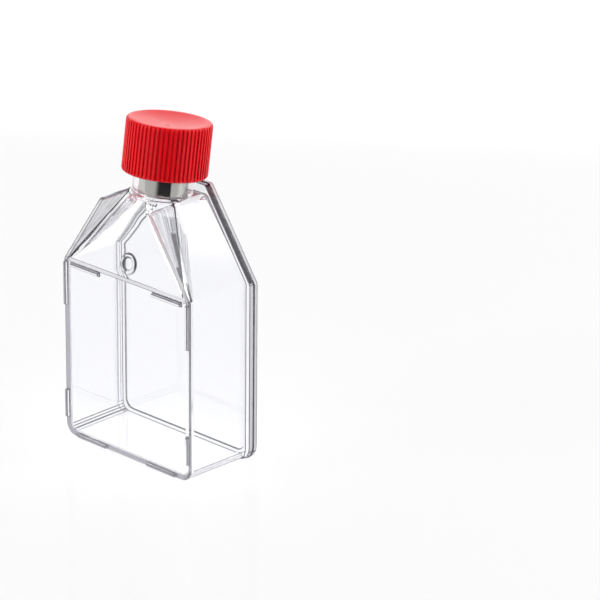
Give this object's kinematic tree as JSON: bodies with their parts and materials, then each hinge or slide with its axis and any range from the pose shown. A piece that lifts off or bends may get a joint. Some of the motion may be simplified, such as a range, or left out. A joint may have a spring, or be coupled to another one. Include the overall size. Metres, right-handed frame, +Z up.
{
  "type": "cell culture flask",
  "caption": "Clear flat-sided culture flask standing on its end, with sloping shoulders, a canted neck and a red ribbed screw cap.",
  "frame": {"origin": "middle of the end wall that the flask stands on, half way through the body's depth", "axes": "+Z up the flask to the neck, +X across its width, -Y out of the growth face and +Y out of the cover"},
  "size_m": [0.056, 0.0307, 0.1005],
  "materials": {
    "clear_body": "clear moulded polystyrene",
    "red_cap": "satin moulded polyethylene",
    "liner": "soft closed foam"
  },
  "bodies": {
    "flask": {"flask_tray": "clear_body", "cover_plate": "clear_body"},
    "liner": {"cap_liner": "liner"},
    "cap": {"screw_cap": "red_cap"}
  },
  "joints": [
    {"name": "cap_rise", "type": "slide", "parent": "flask", "child": "liner", "axis": [0, 0.1452, 0.9894], "range_m": [0, 0.006]},
    {"name": "cap_turn", "type": "hinge", "parent": "liner", "child": "cap", "pos_m": [0, 0.0021, 0.0775], "axis": [0, 0.1452, 0.9894], "range_deg": [0, 720]}
  ],
  "couplings": [
    {"joint": "cap_rise", "follows": "cap_turn", "m_per_rad": 0.0004774}
  ]
}
